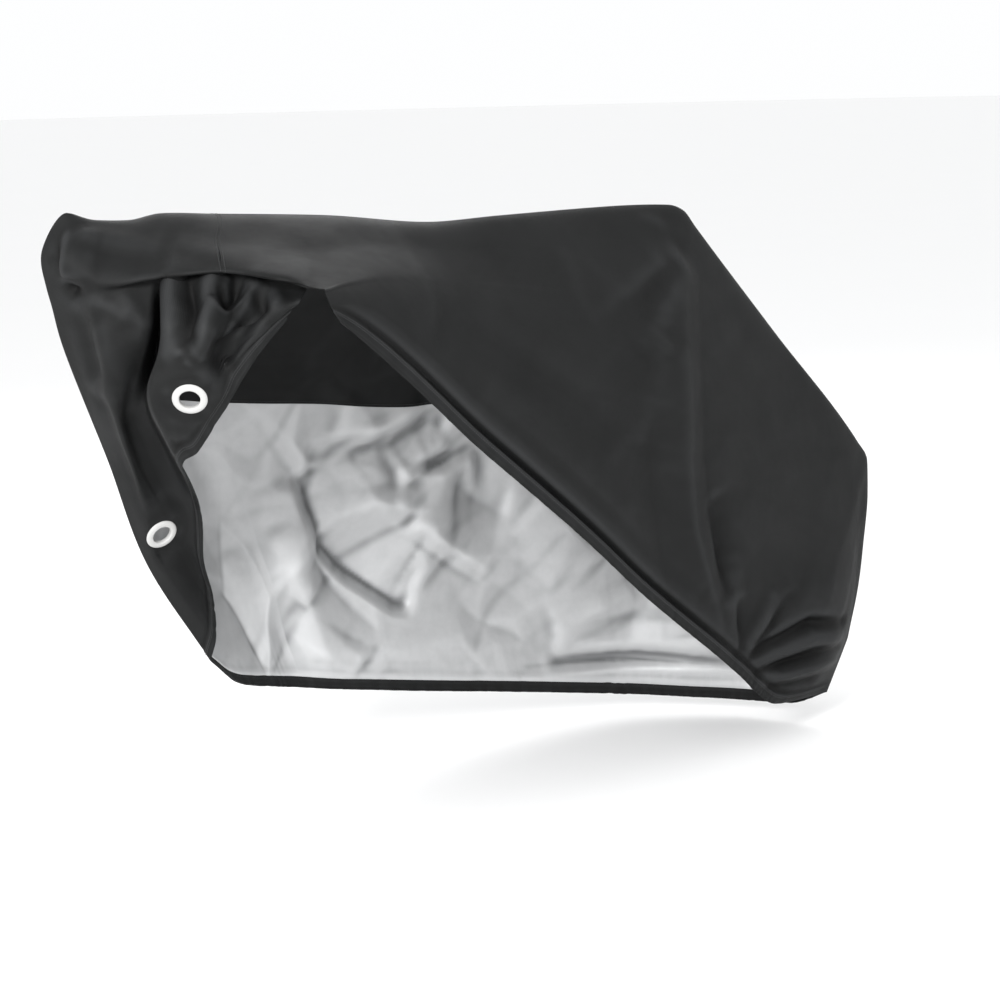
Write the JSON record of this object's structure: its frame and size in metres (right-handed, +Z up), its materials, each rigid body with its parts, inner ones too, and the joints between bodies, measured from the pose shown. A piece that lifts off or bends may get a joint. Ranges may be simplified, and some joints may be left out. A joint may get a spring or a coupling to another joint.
{
  "type": "bicycle cover",
  "caption": "Thin coated cloth cover, draped as over a parked bicycle with its near hem lifted and eyelets in its front flap.",
  "frame": {"origin": "the point under the top of the cover, above the saddle, that carries it; the ground is 1.02 m below", "axes": "+X towards the rear of the cover, +Y to the far side, +Z up"},
  "size_m": [1.5983, 0.5812, 1.0454],
  "materials": {
    "outer_cloth": "dark grey woven polyester with a dull sheen",
    "coated_cloth": "silver coating inside, dark outside",
    "eyelet": "smooth white"
  },
  "bodies": {
    "root": {"front_panel": "outer_cloth", "side_panel_near": "outer_cloth", "side_panel_far": "coated_cloth", "eyelet_flap": "eyelet", "eyelet_nose": "eyelet"}
  },
  "joints": []
}
